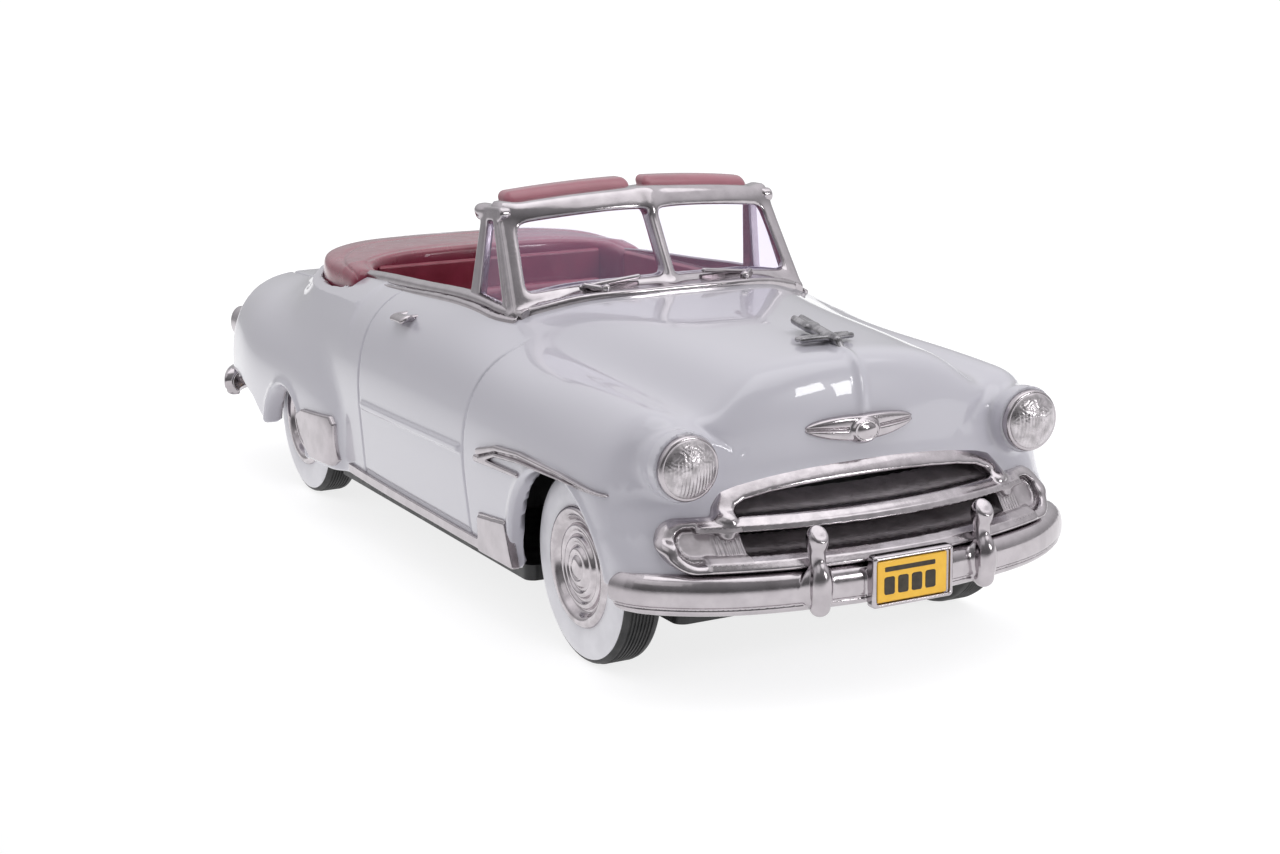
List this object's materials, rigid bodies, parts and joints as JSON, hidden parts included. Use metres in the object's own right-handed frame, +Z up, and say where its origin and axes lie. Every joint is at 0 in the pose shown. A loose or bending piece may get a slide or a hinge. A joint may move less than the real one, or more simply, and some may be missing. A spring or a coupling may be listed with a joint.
{
  "type": "diecast collector car",
  "caption": "Small-scale open convertible collector model with cast body, bright trim, split screen, folded top and free-rolling whitewall wheels.",
  "frame": {"origin": "on the ground under the middle of the model's bounding box", "axes": "+Z up, -Y towards the nose, +X towards the driver's side of a left-hand-drive car"},
  "size_m": [0.0442, 0.1178, 0.0369],
  "materials": {
    "paint": "gloss light grey enamel with a warm lilac cast",
    "trim_chrome": "bright nickel plate",
    "dark_chrome": "dark toned nickel plate",
    "screen_glass": "clear acetate",
    "lamp_lens": "silvered ribbed lens",
    "tail_red": "transparent red",
    "trim_red": "gloss deep red paint on moulded parts",
    "wheel_red": "gloss deep red",
    "column_metal": "gloss deep red",
    "tyre_rubber": "satin black rubber with fine circumferential ribs",
    "whitewall": "satin white",
    "axle_steel": "turned steel",
    "base_black": "matt black",
    "plate_yellow": "gloss yellow"
  },
  "bodies": {
    "body": {"body_shell": "paint", "windshield_frame": "trim_chrome", "vent_frame_right": "trim_chrome", "vent_frame_left": "trim_chrome", "belt_moulding_right": "trim_chrome", "belt_moulding_left": "trim_chrome", "front_bumper": "trim_chrome", "rear_bumper": "trim_chrome", "grille": "trim_chrome", "headlamp_right": "trim_chrome", "headlamp_left": "trim_chrome", "hood_badge": "trim_chrome", "fender_spear_right": "trim_chrome", "fender_spear_left": "trim_chrome", "gravel_shield_right": "trim_chrome", "gravel_shield_left": "trim_chrome", "sill_moulding_right": "trim_chrome", "sill_moulding_left": "trim_chrome", "door_handles": "trim_chrome", "tail_lamp_right": "trim_chrome", "tail_lamp_left": "trim_chrome", "trunk_handle": "trim_chrome", "wipers": "trim_chrome", "hood_ornament": "dark_chrome", "windshield_pane_right": "screen_glass", "windshield_pane_left": "screen_glass", "vent_panes": "screen_glass", "headlamp_lens_right": "lamp_lens", "headlamp_lens_left": "lamp_lens", "tail_lamp_lenses": "tail_red", "interior_tub": "trim_red", "front_seat": "trim_red", "rear_seat": "trim_red", "folded_top_boot": "trim_red", "sun_visor_right": "trim_red", "sun_visor_left": "trim_red", "dashboard": "trim_red", "steering_wheel": "wheel_red", "steering_column": "column_metal", "chassis_screws": "axle_steel", "chassis_plate": "base_black", "grille_backing": "base_black", "front_plate": "plate_yellow", "rear_plate": "plate_yellow"},
    "front_wheelset": {"front_wheel_disc_right": "trim_chrome", "front_wheel_disc_left": "trim_chrome", "front_tyre_right": "tyre_rubber", "front_tyre_left": "tyre_rubber", "front_whitewall_right": "whitewall", "front_whitewall_left": "whitewall", "front_axle": "axle_steel"},
    "rear_wheelset": {"rear_wheel_disc_right": "trim_chrome", "rear_wheel_disc_left": "trim_chrome", "rear_tyre_right": "tyre_rubber", "rear_tyre_left": "tyre_rubber", "rear_whitewall_right": "whitewall", "rear_whitewall_left": "whitewall", "rear_axle": "axle_steel"}
  },
  "joints": [
    {"name": "front_axle_spin", "type": "hinge", "parent": "body", "child": "front_wheelset", "pos_m": [0, -0.0384, 0.0082], "axis": [1, 0, 0], "continuous": true},
    {"name": "rear_axle_spin", "type": "hinge", "parent": "body", "child": "rear_wheelset", "pos_m": [0, 0.0295, 0.0082], "axis": [1, 0, 0], "continuous": true}
  ]
}
